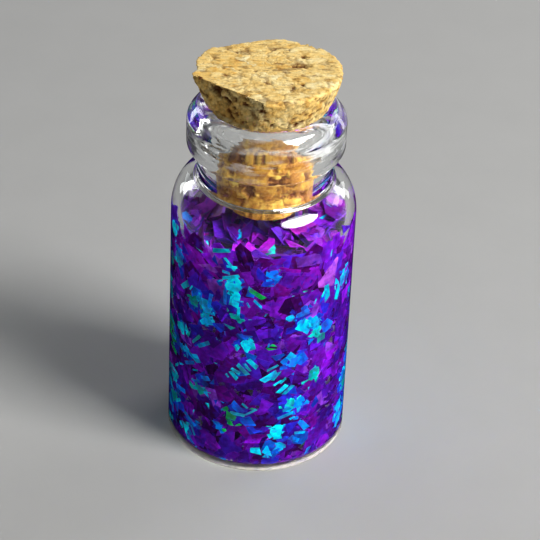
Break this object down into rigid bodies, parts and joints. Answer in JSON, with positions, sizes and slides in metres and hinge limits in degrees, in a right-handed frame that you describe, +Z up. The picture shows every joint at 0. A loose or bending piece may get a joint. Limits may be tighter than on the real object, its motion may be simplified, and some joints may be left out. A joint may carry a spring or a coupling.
{
  "type": "corked sample vial",
  "caption": "Small round glass vial with a shoulder, neck and rolled lip, a tapered agglomerated cork that pulls out, and a fill of loose iridescent film flakes.",
  "frame": {"origin": "centre of the foot, on the surface the vial stands on", "axes": "+Z up along the vial's axis towards the cork, -Y towards the viewer of the front"},
  "size_m": [0.022, 0.022, 0.0515],
  "materials": {
    "glass": "clear, polished",
    "cork": "agglomerated cork, matte, with dark pores",
    "wall_flakes": "iridescent violet film",
    "core_flakes": "iridescent violet film in shade",
    "large_shards": "iridescent violet to blue film"
  },
  "bodies": {
    "vial": {"glass_vial": "glass", "wall_flakes_1": "wall_flakes", "wall_flakes_2": "wall_flakes", "wall_flakes_3": "wall_flakes", "wall_flakes_4": "wall_flakes", "wall_flakes_5": "wall_flakes", "wall_flakes_6": "wall_flakes", "wall_flakes_7": "wall_flakes", "wall_flakes_8": "wall_flakes", "wall_flakes_9": "wall_flakes", "wall_flakes_10": "wall_flakes", "wall_flakes_11": "wall_flakes", "wall_flakes_12": "wall_flakes", "core_flakes_1": "core_flakes", "core_flakes_2": "core_flakes", "core_flakes_3": "core_flakes", "core_flakes_4": "core_flakes", "core_flakes_5": "core_flakes", "core_flakes_6": "core_flakes", "core_flakes_7": "core_flakes", "core_flakes_8": "core_flakes", "core_flakes_9": "core_flakes", "core_flakes_10": "core_flakes", "core_flakes_11": "core_flakes", "core_flakes_12": "core_flakes", "large_shards_1": "large_shards", "large_shards_2": "large_shards", "large_shards_3": "large_shards", "large_shards_4": "large_shards", "crest_shards": "large_shards"},
    "cork": {"cork_stopper": "cork"}
  },
  "joints": [
    {"name": "cork_pull", "type": "slide", "parent": "vial", "child": "cork", "axis": [0, 0, 1], "range_m": [0, 0.016]}
  ]
}
